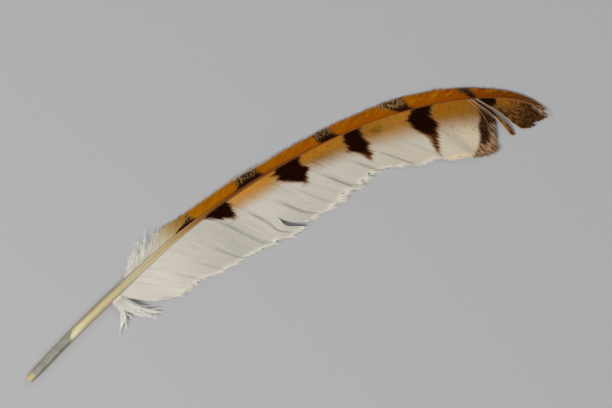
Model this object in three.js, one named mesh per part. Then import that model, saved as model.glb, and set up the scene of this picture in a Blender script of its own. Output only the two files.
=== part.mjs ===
// A barred wing feather lying on its underside: a hollow quill and rachis, two webs of barbs,
// the loose down at their base, and the strip and lobe that have parted near the tip.
// Millimetres, +Z up. X runs along the chord from the quill's cut end to the tip, Y towards the outer web.
// Places on the feather are given as a station, the distance along the shaft from the cut end,
// and a reach, the distance out from the shaft's centre line, positive on the outer side.
import * as THREE from 'three';

// ---- driving dimensions ----

const shaftRoute = [
  [0, 0], [18.9, 6.7], [42.7, 14.2], [71.6, 22.2], [101.1, 27.2], [131.1, 28.6],
  [156.0, 27.0], [175.6, 23.1], [189.8, 18.1], [199.5, 13.0], [205.5, 7.8], [209.1, 2.2],
];
const rachisEnd = 219.4;          // station where the rachis stops
const shaftSizes = [              // station, width, height
  [0, 2.9, 2.8], [3, 3.25, 3.1], [15, 3.4, 3.3], [40, 3.5, 3.3], [50, 3.2, 3.1], [62, 2.7, 2.7],
  [76, 2.1, 2.2], [92, 1.6, 1.8], [126, 0.95, 1.2], [162, 0.6, 0.75], [200, 0.42, 0.5], [219.4, 0.28, 0.28],
];
const restLength = 30;            // the quill lies flat on the ground this far, then the shaft arches up
const archHeight = 1.9;
const boreLength = 18;            // open hollow of the quill
const borePointLength = 3;
const boreShare = 0.66;           // bore size as a share of the quill's
const webThickness = 0.5;
const gap = 0.3;                  // clearance between neighbouring pieces
const attachHeight = 0.6;         // where the webs meet the shaft, as a share of its height
const webFall = 1.15;             // how soon a web falls from the shaft to the ground
const barbStep = 3;               // furthest apart that the modelled barbs of a web are

// ---- shaft frame ----

const route = new THREE.CatmullRomCurve3(shaftRoute.map(([x, y]) => new THREE.Vector3(x, y, 0)));
route.arcLengthDivisions = 2000;
const routeLength = route.getLength();

function interpolate(table, at, column = 1) {
  const last = table.length - 1;
  if (at <= table[0][0]) return table[0][column];
  if (at >= table[last][0]) return table[last][column];
  const i = table.findIndex((row) => row[0] > at);
  const t = (at - table[i - 1][0]) / (table[i][0] - table[i - 1][0]);
  return THREE.MathUtils.lerp(table[i - 1][column], table[i][column], t);
}

const shaftWidth = (station) => interpolate(shaftSizes, station, 1);
const shaftHeight = (station) => interpolate(shaftSizes, station, 2);

// height of the shaft's underside: flat under the quill, then one long shallow arch
function shaftLift(station) {
  const along = THREE.MathUtils.clamp((station - restLength) / (rachisEnd - restLength), 0, 1);
  return archHeight * Math.sin(Math.PI * along) ** 2;
}

function place(station, reach, height) {
  const t = THREE.MathUtils.clamp(station / routeLength, 0, 1);
  const point = route.getPointAt(t);
  const along = route.getTangentAt(t);
  return new THREE.Vector3(point.x - along.y * reach, point.y + along.x * reach, height);
}

// ---- solids ----

function mesh(name, positions, triangles, look) {
  const geometry = new THREE.BufferGeometry();
  const numbers = positions.flatMap((point) => point.toArray());
  geometry.setAttribute('position', new THREE.Float32BufferAttribute(numbers, 3));
  geometry.setIndex(triangles);
  geometry.computeVertexNormals();
  const solid = new THREE.Mesh(geometry, new THREE.MeshStandardMaterial({ metalness: 0, ...look }));
  solid.name = name;
  return solid;
}

// Joins equal rings of points into one closed body, with a fan over the first and the last ring.
function loft(name, rings, look) {
  const sides = rings[0].length;
  const positions = rings.flat();
  const triangles = [];
  for (let i = 0; i < rings.length - 1; i++) {
    for (let k = 0; k < sides; k++) {
      const a = i * sides + k;
      const b = i * sides + (k + 1) % sides;
      triangles.push(a, b, a + sides, b, b + sides, a + sides);
    }
  }
  const last = (rings.length - 1) * sides;
  for (let k = 1; k < sides - 1; k++) {
    triangles.push(0, k + 1, k);
    triangles.push(last, last + k, last + k + 1);
  }
  return mesh(name, positions, triangles, look);
}

// Thickens a grid of points into one closed plate. Cells that keep(column, row) refuses are left open.
function plate(name, columns, look, keep = () => true) {
  const rows = columns[0].length;
  const count = columns.length * rows;
  const half = webThickness / 2;
  const points = columns.flat();
  const tops = points.map((p) => new THREE.Vector3(p.x, p.y, p.z + half));
  const bottoms = points.map((p) => new THREE.Vector3(p.x, p.y, p.z - half));
  const first = points[0];
  const across = points[1].clone().sub(first);
  const along = points[rows].clone().sub(first);
  const turn = along.x * across.y - along.y * across.x;
  const triangles = [];
  const add = (a, b, c) => triangles.push(...(turn > 0 ? [a, b, c] : [a, c, b]));
  const kept = (i, j) => i >= 0 && j >= 0 && i < columns.length - 1 && j < rows - 1 && keep(i, j);
  const wall = (a, b) => {
    add(a, a + count, b);
    add(b, a + count, b + count);
  };
  for (let i = 0; i < columns.length - 1; i++) {
    for (let j = 0; j < rows - 1; j++) {
      if (!kept(i, j)) continue;
      const near = i * rows + j;
      const far = near + rows;
      add(near, far, far + 1);
      add(near, far + 1, near + 1);
      add(near + count, far + 1 + count, far + count);
      add(near + count, near + 1 + count, far + 1 + count);
      if (!kept(i, j - 1)) wall(near, far);
      if (!kept(i + 1, j)) wall(far, far + 1);
      if (!kept(i, j + 1)) wall(far + 1, near + 1);
      if (!kept(i - 1, j)) wall(near + 1, near);
    }
  }
  return dropUnused(name, tops.concat(bottoms), triangles, look);
}

function dropUnused(name, positions, triangles, look) {
  const used = [...new Set(triangles)].sort((a, b) => a - b);
  const place = new Map(used.map((old, i) => [old, i]));
  return mesh(name, used.map((i) => positions[i]), triangles.map((i) => place.get(i)), look);
}

// ---- shaft ----

function shaftRing(station, share = 1, sides = 12) {
  const flat = Math.cos(Math.PI / sides);
  const height = shaftHeight(station);
  const middle = shaftLift(station) + height / 2;
  const ring = [];
  for (let k = 0; k < sides; k++) {
    const angle = (2 * Math.PI * (k + 0.5)) / sides;
    const reach = (share * shaftWidth(station) * Math.cos(angle)) / 2;
    ring.push(place(station, reach, middle + (share * height * Math.sin(angle)) / (2 * flat)));
  }
  return ring;
}

function makeShaft() {
  const outsideSteps = 62;
  const boreSteps = 6;
  const pointShare = 0.12;
  const rings = [];
  rings.push(shaftRing(boreLength + borePointLength, pointShare));
  for (let i = boreSteps; i >= 0; i--) rings.push(shaftRing((boreLength * i) / boreSteps, boreShare));
  for (let i = 0; i <= outsideSteps; i++) rings.push(shaftRing((rachisEnd * i) / outsideSteps));
  return loft('shaft', rings, { color: 0xcdbf8f, roughness: 0.45 });
}

// ---- webs ----

// Station of the point on a barb at a distance out from the shaft: the barb leaves the shaft
// at root, leans towards the tip by sweep, and leans further the further out it is.
const bendLength = 21.6;
const bend = 0.35;
function barbStation(root, distance, sweep) {
  return root + sweep * distance * (1 + bend * (distance / bendLength) ** 2);
}

// The outline of a web is a list of barbs, each its root and the distance out that its tip reaches.
// Long steps between them are filled in with more barbs.
function fillIn(outline) {
  const barbs = [outline[0]];
  for (let i = 1; i < outline.length; i++) {
    const [fromRoot, fromTip] = outline[i - 1];
    const [toRoot, toTip] = outline[i];
    const parts = Math.max(1, Math.ceil((toRoot - fromRoot) / barbStep));
    for (let k = 1; k <= parts; k++) {
      const t = k / parts;
      barbs.push([THREE.MathUtils.lerp(fromRoot, toRoot, t), THREE.MathUtils.lerp(fromTip, toTip, t)]);
    }
  }
  return barbs;
}

// A web falls in a shallow curve from the shaft to the ground, which its edge rests on.
function webHeight(station, distance, tip) {
  const share = THREE.MathUtils.clamp(1 - distance / tip, 0, 1);
  const ground = webThickness / 2;
  const top = Math.max(ground, shaftLift(station) + attachHeight * shaftHeight(station));
  return ground + (top - ground) * share ** webFall;
}

// side is 1 for the outer web and -1 for the inner
function webColumn([root, tip], side, rows, sweepTable, shiftAt = () => 0) {
  const sweep = interpolate(sweepTable, root);
  const start = shaftWidth(root + sweep) / 2 + gap;
  const column = [];
  for (let j = 0; j <= rows; j++) {
    const distance = THREE.MathUtils.lerp(start, tip, j / rows);
    const station = barbStation(root, distance, sweep) + shiftAt(root, distance);
    column.push(place(station, side * distance, webHeight(station, distance, tip)));
  }
  return column;
}

const innerOutline = [
  [44.2, 10], [45.7, 12.8], [47.9, 15.5], [49.2, 17.2], [53.5, 17.5], [59.3, 17.9], [61.8, 19.9],
  [70.8, 21.2], [80.2, 21.1], [85.7, 22.6], [88.3, 23.8], [95.7, 23.5],
  [96.3, 21.9], [101.5, 22.7], [109.2, 21.5], [115.6, 20.7], [123, 19.4], [126.9, 17.9],
  [131.4, 16.9], [135.9, 17.4], [139.9, 19.5], [145.5, 20.4], [153.3, 21.2], [160.6, 20.9],
  [168.7, 19.8], [176.6, 17.5], [181.1, 14], [188.6, 9], [190.4, 7.5],
];
const splitRoot = 96;             // the web is split outward of splitDepth beside this barb
const splitDepth = 14.7;
const splitDone = 22;             // distance out at which the split has opened fully
const splitOpening = 2.9;
const splitPull = 9;              // how far back from the split the barbs are pulled aside
const splitRow = 5;               // rows of the web that stay joined across the split
const innerSweep = [[90, 0.62], [191.5, 1.31]];

// Barbs on the near side of the split are drawn back towards the quill.
function pullAside(root, distance) {
  if (root > splitRoot) return 0;
  const near = Math.exp((root - splitRoot) / splitPull);
  return -splitOpening * near * THREE.MathUtils.smoothstep(distance, splitDepth, splitDone);
}

function makeInnerVane() {
  const rows = 8;
  const barbs = fillIn(innerOutline);
  const beside = barbs.findIndex(([root]) => root > splitRoot) - 1;
  const columns = barbs.map((barb) => webColumn(barb, -1, rows, innerSweep, pullAside));
  return plate('inner_vane', columns, { color: 0xd9d3c4, roughness: 0.85 },
    (i, j) => i !== beside || j < splitRow);
}

const outerSweep = [[50, 0.95], [62, 1.05], [80, 1.5], [214, 1.6]];
const outerDownOutline = [[48, 2.9], [49.2, 4.6], [50.2, 7.6], [53, 8.2], [58.2, 8], [60.9, 6.7]];
const outerOutline = [
  [61.5, 6.4], [66.5, 5.8], [76, 4.8], [90, 4.5], [105, 4.1], [112, 4.0], [120, 4.3], [145, 4.8],
  [160, 5.0], [172, 4.9], [185, 4.0], [196, 3.0], [205, 2.2], [214, 1.5], [217.2, 1.0],
];

function makeOuterWeb(name, outline, rows, look) {
  return plate(name, fillIn(outline).map((barb) => webColumn(barb, 1, rows, outerSweep)), look);
}

const tipOutline = [
  [193.6, 9.4], [196.2, 9.3], [198.7, 8.8], [203.5, 6.8], [207.4, 5.4], [211, 3.7], [214.4, 2.0],
  [217.2, 1.0],
];
const tipSweep = [[193.6, 1.89], [214.8, 2.5]];

function makeTipVane() {
  const columns = fillIn(tipOutline).map((barb) => webColumn(barb, -1, 4, tipSweep));
  return plate('tip_vane', columns, { color: 0x7a4f22, roughness: 0.8 });
}

// A bundle of barbs between two edges, each a list of station and distance out from the shaft.
function makeBundle(name, nearEdge, farEdge, side, strips, look) {
  const steps = 7;
  const curve = (edge) => new THREE.SplineCurve(edge.map(([s, d]) => new THREE.Vector2(s, d)));
  const near = curve(nearEdge);
  const far = curve(farEdge);
  const columns = [];
  for (let i = 0; i <= strips; i++) {
    const column = [];
    for (let j = 0; j <= steps; j++) {
      const at = near.getPoint(j / steps).lerp(far.getPoint(j / steps), i / strips);
      column.push(place(at.x, side * at.y, webHeight(at.x, j / steps, 1)));
    }
    columns.push(column);
  }
  return plate(name, columns, look);
}

const white = { color: 0xe6e2d8, roughness: 0.95 };

const feather = new THREE.Group();
feather.add(
  makeShaft(),
  makeOuterWeb('outer_down', outerDownOutline, 4, white),
  makeOuterWeb('outer_vane', outerOutline, 3, { color: 0xb5741c, roughness: 0.8 }),
  makeBundle('inner_down_back',
    [[40.5, 2.1], [40.9, 5.2], [39.9, 7.6], [37.6, 9.4], [34.8, 11.8]],
    [[41.3, 2.1], [41.8, 5.6], [41.2, 8], [39.4, 10], [37.4, 12]], -1, 2, white),
  makeBundle('inner_down_forward',
    [[41.8, 2.1], [42.3, 5.7], [43.9, 9.5], [45.9, 13.1], [48.5, 16.8]],
    [[45.0, 2.1], [47.1, 6], [48.2, 9.2], [49.6, 11.6], [51.8, 13.4]], -1, 3, white),
  makeInnerVane(),
  makeBundle('loose_strip',
    [[192.2, 0.6], [194.9, 2.7], [198.2, 4.9], [201.8, 7.8], [205.2, 10.8], [208.8, 12.7], [211.6, 12.4]],
    [[192.9, 0.6], [195.6, 2], [198.9, 4], [202.2, 6.4], [205.6, 8.6], [208.8, 10.5], [211.8, 11.9]],
    -1, 2, { color: 0x9a7440, roughness: 0.85 }),
  makeTipVane(),
);

// The origin is under the middle of the feather's box, on the ground.
const box = new THREE.Box3().setFromObject(feather);
const middle = box.getCenter(new THREE.Vector3());
feather.position.set(-middle.x, -middle.y, -box.min.z);
feather.updateMatrixWorld(true);

export default feather;
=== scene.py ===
import math

import bpy
import numpy as np
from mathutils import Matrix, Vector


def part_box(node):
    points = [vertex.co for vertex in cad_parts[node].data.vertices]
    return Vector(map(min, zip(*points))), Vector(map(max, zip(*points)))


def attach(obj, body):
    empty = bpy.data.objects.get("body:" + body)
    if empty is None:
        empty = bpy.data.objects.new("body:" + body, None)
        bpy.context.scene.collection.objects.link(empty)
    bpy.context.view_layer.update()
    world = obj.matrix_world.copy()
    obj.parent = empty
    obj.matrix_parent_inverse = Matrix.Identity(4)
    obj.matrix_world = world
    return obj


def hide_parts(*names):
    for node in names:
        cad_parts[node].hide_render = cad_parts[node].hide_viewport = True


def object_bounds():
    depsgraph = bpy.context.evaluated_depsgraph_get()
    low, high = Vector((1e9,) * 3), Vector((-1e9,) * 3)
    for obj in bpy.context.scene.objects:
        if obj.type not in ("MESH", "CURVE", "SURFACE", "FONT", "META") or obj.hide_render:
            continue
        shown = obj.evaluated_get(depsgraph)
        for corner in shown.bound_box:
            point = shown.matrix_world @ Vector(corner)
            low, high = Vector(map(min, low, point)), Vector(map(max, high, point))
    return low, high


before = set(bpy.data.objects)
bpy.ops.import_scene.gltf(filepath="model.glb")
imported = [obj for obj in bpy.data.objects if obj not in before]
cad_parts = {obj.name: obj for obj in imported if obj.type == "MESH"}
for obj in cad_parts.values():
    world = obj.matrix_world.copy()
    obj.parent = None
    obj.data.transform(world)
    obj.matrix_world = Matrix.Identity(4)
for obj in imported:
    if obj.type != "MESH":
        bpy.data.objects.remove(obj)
cadLow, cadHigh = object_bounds()
middle = (cadLow + cadHigh) / 2
mm = 0.001
print("frame loaded with", len(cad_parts), "nodes")

# ---- camera, floor and lights ----

view = {
    "aim": (0.0128, -0.0040),   # metres from the middle of the feather's box
    "turn": -26.55,             # degrees that the picture is turned about the vertical
    "width": 0.2203,            # metres of floor across the picture
    "lens": 110,
    "sensor": 36,
}
studio = {
    "floorColour": (0.385, 0.387, 0.39),
    "floorSize": 6.0,
    "worldColour": (0.80, 0.82, 0.86),
    "worldStrength": 0.22,
    # name, place beside the feather, size, watts, colour
    "lights": [
        ("key", (-1.50, -0.50, 1.15), 0.70, 40.0, (1.0, 0.985, 0.96)),
        ("fill", (1.10, 1.20, 1.50), 1.60, 10.5, (0.97, 0.985, 1.0)),
        ("top", (0.10, -0.60, 1.80), 1.20, 8.0, (1.0, 1.0, 1.0)),
    ],
}


def addCamera(own):
    # straight down from a height of width across the picture * lens / sensor
    data = bpy.data.cameras.new("view")
    data.lens = own["lens"]
    data.sensor_width = own["sensor"]
    data.clip_start, data.clip_end = 0.01, 20
    camera = bpy.data.objects.new("view", data)
    high = own["width"] * own["lens"] / own["sensor"]
    camera.location = (middle.x + own["aim"][0], middle.y + own["aim"][1], cadLow.z + high)
    camera.rotation_euler = (0, 0, math.radians(own["turn"]))
    bpy.context.scene.collection.objects.link(camera)
    bpy.context.scene.camera = camera


def addLight(name, place, size, watts, colour):
    # a light at a place beside the middle of the feather, turned to face it
    data = bpy.data.lights.new(name, "AREA")
    data.shape, data.size, data.energy, data.color = "DISK", size, watts, colour
    light = bpy.data.objects.new(name, data)
    light.location = (middle.x + place[0], middle.y + place[1], cadLow.z + place[2])
    facing = (middle - light.location).to_track_quat("-Z", "Y")
    light.rotation_euler = facing.to_euler()
    bpy.context.scene.collection.objects.link(light)


def addStudio(own):
    # a square of floor just under the feather, the lights and an even grey-blue sky
    half = own["floorSize"] / 2
    corners = [(middle.x + x * half, middle.y + y * half, cadLow.z - 0.00002)
               for x, y in ((-1, -1), (1, -1), (1, 1), (-1, 1))]
    mesh = bpy.data.meshes.new("studio_floor")
    mesh.from_pydata(corners, [], [(0, 1, 2, 3)])
    floor = bpy.data.objects.new("studio_floor", mesh)
    bpy.context.scene.collection.objects.link(floor)
    paper = bpy.data.materials.new("floor paper")
    paper.use_nodes = True
    shader = paper.node_tree.nodes["Principled BSDF"]
    shader.inputs["Base Color"].default_value = (*own["floorColour"], 1)
    shader.inputs["Roughness"].default_value = 0.9
    shader.inputs["Specular IOR Level"].default_value = 0.2
    mesh.materials.append(paper)
    for light in own["lights"]:
        addLight(*light)
    world = bpy.data.worlds.new("studio")
    world.use_nodes = True
    background = world.node_tree.nodes["Background"]
    background.inputs["Color"].default_value = (*own["worldColour"], 1)
    background.inputs["Strength"].default_value = own["worldStrength"]
    bpy.context.scene.world = world
    bpy.context.scene.view_settings.view_transform = "Standard"


addCamera(view)
addStudio(studio)
print("camera, floor and lights set")

# ---- numbers along the feather ----
# station is millimetres along the shaft from the cut end, reach is millimetres out from its middle line


def smoothstep(at, low, high):
    # 3t^2 - 2t^3 of the share t of the way from low to high
    t = np.clip((at - low) / (high - low), 0, 1)
    return t * t * (3 - 2 * t)


def lookUp(table, at, column=1):
    # straight lines between the rows of a table
    rows = np.array(table, float)
    return np.interp(at, rows[:, 0], rows[:, column])


def drift(at, step, seed):
    # a wandering line: a seeded value at every step, eased between, from -1 to 1
    count = 997
    values = np.random.default_rng(seed).uniform(-1, 1, count)
    cell = np.floor(at / step).astype(int)
    t = at / step - cell
    t = t * t * (3 - 2 * t)
    return values[cell % count] * (1 - t) + values[(cell + 1) % count] * t


def curveThrough(points, perSpan):
    # a spline through the points: on each span the cubic with the mean slope of its neighbours at both ends
    p = np.array(points, float)
    p = np.vstack([2 * p[0] - p[1], p, 2 * p[-1] - p[-2]])
    gaps = np.sqrt(np.linalg.norm(np.diff(p, axis=0), axis=1))[:, None]
    a, b, c = gaps[:-2], gaps[1:-1], gaps[2:]
    p0, p1, p2, p3 = p[:-3], p[1:-2], p[2:-1], p[3:]
    slope1 = ((p1 - p0) / a - (p2 - p0) / (a + b) + (p2 - p1) / b) * b
    slope2 = ((p2 - p1) / b - (p3 - p1) / (b + c) + (p3 - p2) / c) * b
    t = (np.arange(perSpan) / perSpan)[None, :, None]
    curve = ((2 * t**3 - 3 * t**2 + 1) * p1[:, None] + (t**3 - 2 * t**2 + t) * slope1[:, None]
             + (3 * t**2 - 2 * t**3) * p2[:, None] + (t**3 - t**2) * slope2[:, None])
    return np.vstack([curve.reshape(-1, p.shape[1]), p[-2]])


shaft = {
    "route": [(0, 0), (18.9, 6.7), (42.7, 14.2), (71.6, 22.2), (101.1, 27.2), (131.1, 28.6),
              (156.0, 27.0), (175.6, 23.1), (189.8, 18.1), (199.5, 13.0), (205.5, 7.8), (209.1, 2.2)],
    "end": 219.4,
    "sizes": [(0, 2.9, 2.8), (3, 3.25, 3.1), (15, 3.4, 3.3), (40, 3.5, 3.3), (50, 3.2, 3.1), (62, 2.7, 2.7),
              (76, 2.1, 2.2), (92, 1.6, 1.8), (126, 0.95, 1.2), (162, 0.6, 0.75), (200, 0.42, 0.5),
              (219.4, 0.28, 0.28)],   # station, width, height
    "restLength": 30,
    "arch": 1.9,
    "bore": 18,
    "borePoint": 3,
    "boreShare": 0.66,
    "around": 32,
    "rings": 300,
    "groove": 0.16,
}

line = curveThrough(shaft["route"], 300)
steps = np.linalg.norm(np.diff(line, axis=0), axis=1)
lineStation = np.concatenate([[0], np.cumsum(steps)])
lineAlong = np.gradient(line, axis=0)
lineAlong /= np.linalg.norm(lineAlong, axis=1)[:, None]


def shaftWidth(station):
    # straight lines between the sizes listed, as for the height
    return lookUp(shaft["sizes"], station, 1)


def shaftHeight(station):
    return lookUp(shaft["sizes"], station, 2)


def shaftLift(station):
    # underside of the shaft: flat under the quill, then arch * sin^2 of the way along to the end
    along = np.clip((station - shaft["restLength"]) / (shaft["end"] - shaft["restLength"]), 0, 1)
    return shaft["arch"] * np.sin(math.pi * along) ** 2


def onFeather(station, reach, height):
    # point = shaft line at that station + its left-hand normal * reach; past the tip the line runs
    # straight on
    station, reach, height = np.broadcast_arrays(station, reach, height)
    over = np.maximum(station - lineStation[-1], 0)
    alongX = np.interp(station, lineStation, lineAlong[:, 0])
    alongY = np.interp(station, lineStation, lineAlong[:, 1])
    x = np.interp(station, lineStation, line[:, 0]) + over * alongX - alongY * reach
    y = np.interp(station, lineStation, line[:, 1]) + over * alongY + alongX * reach
    return np.stack([x, y, height], -1)


# the line is moved so that the shaft it carries fills the frame's shaft in plan
ends = np.linspace(0, shaft["end"], 400)
sides = np.concatenate([onFeather(ends, shaftWidth(ends) / 2, 0), onFeather(ends, -shaftWidth(ends) / 2, 0)])
shaftLow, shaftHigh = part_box("shaft")
frameMiddle = np.array((shaftLow + shaftHigh) / 2) / mm
line += (frameMiddle - (sides.min(0) + sides.max(0)) / 2)[:2]
floorHeight = cadLow.z / mm

# ---- meshes ----


def strandFaces(strands, stations, around):
    # quads round every strand from ring to ring, and a lid on each end
    first = (np.arange(strands) * stations * around)[:, None, None]
    ring = (np.arange(stations - 1) * around)[None, :, None]
    k = np.arange(around)[None, None, :]
    a, b = first + ring + k, first + ring + (k + 1) % around
    walls = np.stack([a, b, b + around, a + around], -1).reshape(-1, 4)
    turn = np.arange(around)[None, :]
    near = first[:, 0] + turn[:, ::-1]
    far = first[:, 0] + (stations - 1) * around + turn
    return walls, np.concatenate([near, far])


def strandUvs(strands, stations, around, rows):
    # one way is along a strand, the other is strand by strand and side by side, with a sliver at each end
    # for the lids
    n = np.arange(strands)[:, None, None]
    i = np.arange(stations - 1)[None, :, None] / (stations - 1) * 0.98 + 0.01
    j = i + 0.98 / (stations - 1)
    k = np.arange(around)[None, None, :]
    low, high = rows[0], rows[1]
    step = (high - low) / strands
    v0 = low + (n + k / around) * step + 0 * i
    v1 = low + (n + (k + 1) / around) * step + 0 * i
    u0, u1 = i + 0 * v0, j + 0 * v0
    walls = np.stack([np.stack([u0, v0], -1), np.stack([u0, v1], -1),
                      np.stack([u1, v1], -1), np.stack([u1, v0], -1)], -2).reshape(-1, 2)
    turn = np.arange(around) / around * 2 * math.pi
    lidU, lidV = 0.004 + 0.003 * np.cos(turn), 0.5 + 0.4 * np.sin(turn)
    lidV = low + (np.arange(strands)[:, None] + lidV[None]) * step
    near = np.stack([lidU[None] + 0 * lidV, lidV], -1)[:, ::-1]
    far = np.stack([0.992 + lidU[None] + 0 * lidV, lidV], -1)
    return np.concatenate([walls, near.reshape(-1, 2), far.reshape(-1, 2)])


def sweepStrands(centre, half, rise, section, lean=0.0):
    # a ring at every point of every strand = centre + across * half * section x + up * rise * section y,
    # where across lies level beside the strand's direction, rolled over by lean
    along = np.gradient(centre, axis=1)
    along /= np.linalg.norm(along, axis=-1, keepdims=True) + 1e-9
    across = np.cross(along, np.array([0.0, 0.0, 1.0]))
    across /= np.linalg.norm(across, axis=-1, keepdims=True) + 1e-9
    up = np.cross(across, along)
    roll = np.broadcast_to(lean, half.shape)[..., None]
    rolled = across * np.cos(roll) + up * np.sin(roll)
    raised = np.cross(rolled, along)
    x, y = np.array(section, float).T
    rings = (centre[:, :, None] + rolled[:, :, None] * (half[..., None] * x)[..., None]
             + raised[:, :, None] * (rise[..., None] * y)[..., None])
    return rings


roof = [(-1, 0), (0, 1), (1, 0), (0, -0.7)]           # left edge, ridge, right edge, underside
blade = [(-1, -0.3), (0, 1), (1, -0.3)]              # left edge, back, right edge


def strandPart(centre, half, rise, section, place, barb, chance, lean=0.0, rows=(0, 1)):
    # swept strands with their faces, and the numbers each point carries: place, barb and chance
    strands, stations = half.shape
    around = len(section)
    points = sweepStrands(centre, half, rise, section, lean)
    walls, lids = strandFaces(strands, stations, around)
    shape = (strands, stations, around)
    side = np.broadcast_to(np.array(section)[:, 0], shape)
    barbs = np.stack([np.broadcast_to(barb[0][..., None], shape), side,
                      np.broadcast_to(barb[1][..., None], shape)], -1)
    places = np.broadcast_to(place[:, :, None, :], shape + (3,))
    chances = np.broadcast_to(chance[:, None, None, :], shape + (3,))
    return {
        "points": points.reshape(-1, 3), "faces": [walls, lids],
        "uv": strandUvs(strands, stations, around, rows),
        "place": places.reshape(-1, 3), "barb": barbs.reshape(-1, 3), "chance": chances.reshape(-1, 3),
    }


def addPiece(name, parts, material, node, smooth=False):
    points = np.concatenate([p["points"] for p in parts]) * mm
    faces, uvs, start = [], [], 0
    for part in parts:
        for block in part["faces"]:
            faces += (block + start).tolist()
        uvs.append(part["uv"])
        start += len(part["points"])
    mesh = bpy.data.meshes.new(name)
    mesh.from_pydata(points.tolist(), [], faces)
    for key in ("place", "barb", "chance"):
        values = np.concatenate([p[key] for p in parts]).astype(np.float32)
        mesh.attributes.new(key, "FLOAT_VECTOR", "POINT").data.foreach_set("vector", values.ravel())
    uv = np.concatenate(uvs).astype(np.float32)
    mesh.uv_layers.new(name="OFBake").data.foreach_set("uv", uv.ravel())
    mesh.polygons.foreach_set("use_smooth", np.full(len(faces), smooth))
    mesh.materials.append(material)
    mesh.update()
    piece = bpy.data.objects.new(name, mesh)
    bpy.context.scene.collection.objects.link(piece)
    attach(piece, "root")
    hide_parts(node)
    triangles = sum(block.shape[0] * (block.shape[1] - 2) for part in parts for block in part["faces"])
    print(f"{name}: {triangles} triangles")
    return piece


# ---- materials ----


class Wire:                       # a shader value that Python's own operators work on
    def __init__(self, paint, socket):
        self.paint, self.socket = paint, socket

    def maths(self, operation, *others, first=True):
        values = (self, *others) if first else (*others, self)
        return self.paint.node("ShaderNodeMath", {"operation": operation}, dict(enumerate(values)))

    def __add__(self, other):
        return self.maths("ADD", other)

    def __sub__(self, other):
        return self.maths("SUBTRACT", other)

    def __rsub__(self, other):
        return self.maths("SUBTRACT", other, first=False)

    def __mul__(self, other):
        return self.maths("MULTIPLY", other)

    def __truediv__(self, other):
        return self.maths("DIVIDE", other)

    __radd__, __rmul__ = __add__, __mul__

    def least(self, other):
        return self.maths("MINIMUM", other)

    def most(self, other):
        return self.maths("MAXIMUM", other)

    def size(self):
        return self.maths("ABSOLUTE")

    def wave(self):
        return self.maths("SINE")

    def between(self, low, high):
        # 0 below low, 1 above high, eased between; low may be the larger, which turns it round
        a, b, turned = (low, high, False) if low < high else (high, low, True)
        out = self.paint.node("ShaderNodeMapRange", {"interpolation_type": "SMOOTHSTEP"},
                              {"Value": self, "From Min": a, "From Max": b})
        return 1 - out if turned else out


class Paint:                      # one material and its nodes
    def __init__(self, name, roughness, **constants):
        self.material = bpy.data.materials.new(name)
        self.material.use_nodes = True
        self.tree = self.material.node_tree
        self.shader = self.tree.nodes["Principled BSDF"]
        self.shader.inputs["Roughness"].default_value = roughness
        for key, value in constants.items():
            self.shader.inputs[key.replace("_", " ")].default_value = value

    def node(self, kind, settings=None, inputs=None, output=0):
        # type of node, settings that are made first, values or wires for its sockets, and the output wanted
        made = self.tree.nodes.new(kind)
        for key, value in (settings or {}).items():
            if key == "stops":
                stops = made.color_ramp.elements
                while len(stops) < len(value):
                    stops.new(1.0)
                for stop, (at, colour) in zip(stops, value):
                    stop.position, stop.color = at, colour
            else:
                setattr(made, key, value)
        for key, value in (inputs or {}).items():
            if isinstance(value, Wire):
                self.tree.links.new(value.socket, made.inputs[key])
            else:
                made.inputs[key].default_value = value
        return Wire(self, made.outputs[output])

    def parts(self, attribute):
        # the three numbers of an attribute that the mesh carries
        vector = self.node("ShaderNodeAttribute", {"attribute_name": attribute}, output="Vector")
        split = self.node("ShaderNodeSeparateXYZ", inputs={0: vector}).socket.node
        return [Wire(self, out) for out in split.outputs]

    def vector(self, x, y, z=0.0):
        return self.node("ShaderNodeCombineXYZ", inputs={0: x, 1: y, 2: z})

    def noise(self, x, y, z=0.0, scale=1.0, detail=2.0, rough=0.5):
        return self.node("ShaderNodeTexNoise", inputs={
            "Vector": self.vector(x, y, z), "Scale": scale, "Detail": detail, "Roughness": rough})

    def mix(self, share, first, second):
        # from the first colour to the second; each is a wire or a screen tone
        first, second = (c if isinstance(c, Wire) else (*tone(*c), 1) for c in (first, second))
        return self.node("ShaderNodeMix", {"data_type": "RGBA", "clamp_factor": True},
                         {0: share, 6: first, 7: second}, output=2)

    def scaled(self, colour, by):
        # a colour times a number
        return self.node("ShaderNodeVectorMath", {"operation": "SCALE"}, {0: colour, "Scale": by})

    def ramp(self, at, rows, length=220):
        # screen tones at their places along the feather, straight between them
        stops = [(place / length, (*tone(*shade), 1)) for place, shade in rows]
        return self.node("ShaderNodeValToRGB", {"stops": stops}, {0: at / length})

    def chart(self, at, rows):
        # straight lines between the rows (at, value), as a grey ramp stretched to their range
        xs, ys = np.array(rows, float).T
        low, high = ys.min(), max(ys.max(), ys.min() + 1e-6)
        run = float(xs[-1] - xs[0])
        greys = (ys - low) / (high - low)
        stops = [((x - xs[0]) / run, (g, g, g, 1)) for x, g in zip(xs, greys)]
        ramp = self.node("ShaderNodeValToRGB", {"stops": stops}, {0: (at - float(xs[0])) / run})
        grey = self.node("ShaderNodeSeparateColor", inputs={0: ramp})
        return grey * float(high - low) + float(low)

    def bump(self, height, distance, strength=1.0):
        normal = self.node("ShaderNodeBump", inputs={
            "Height": height, "Distance": distance, "Strength": strength})
        self.tree.links.new(normal.socket, self.shader.inputs["Normal"])

    def colour(self, wire, socket="Base Color"):
        self.tree.links.new(wire.socket, self.shader.inputs[socket])


exposure = {
    "gain": 1.12,    # how much lighter than the named tones
    "light": 0.92,   # the light that falls on level ground
}


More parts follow.
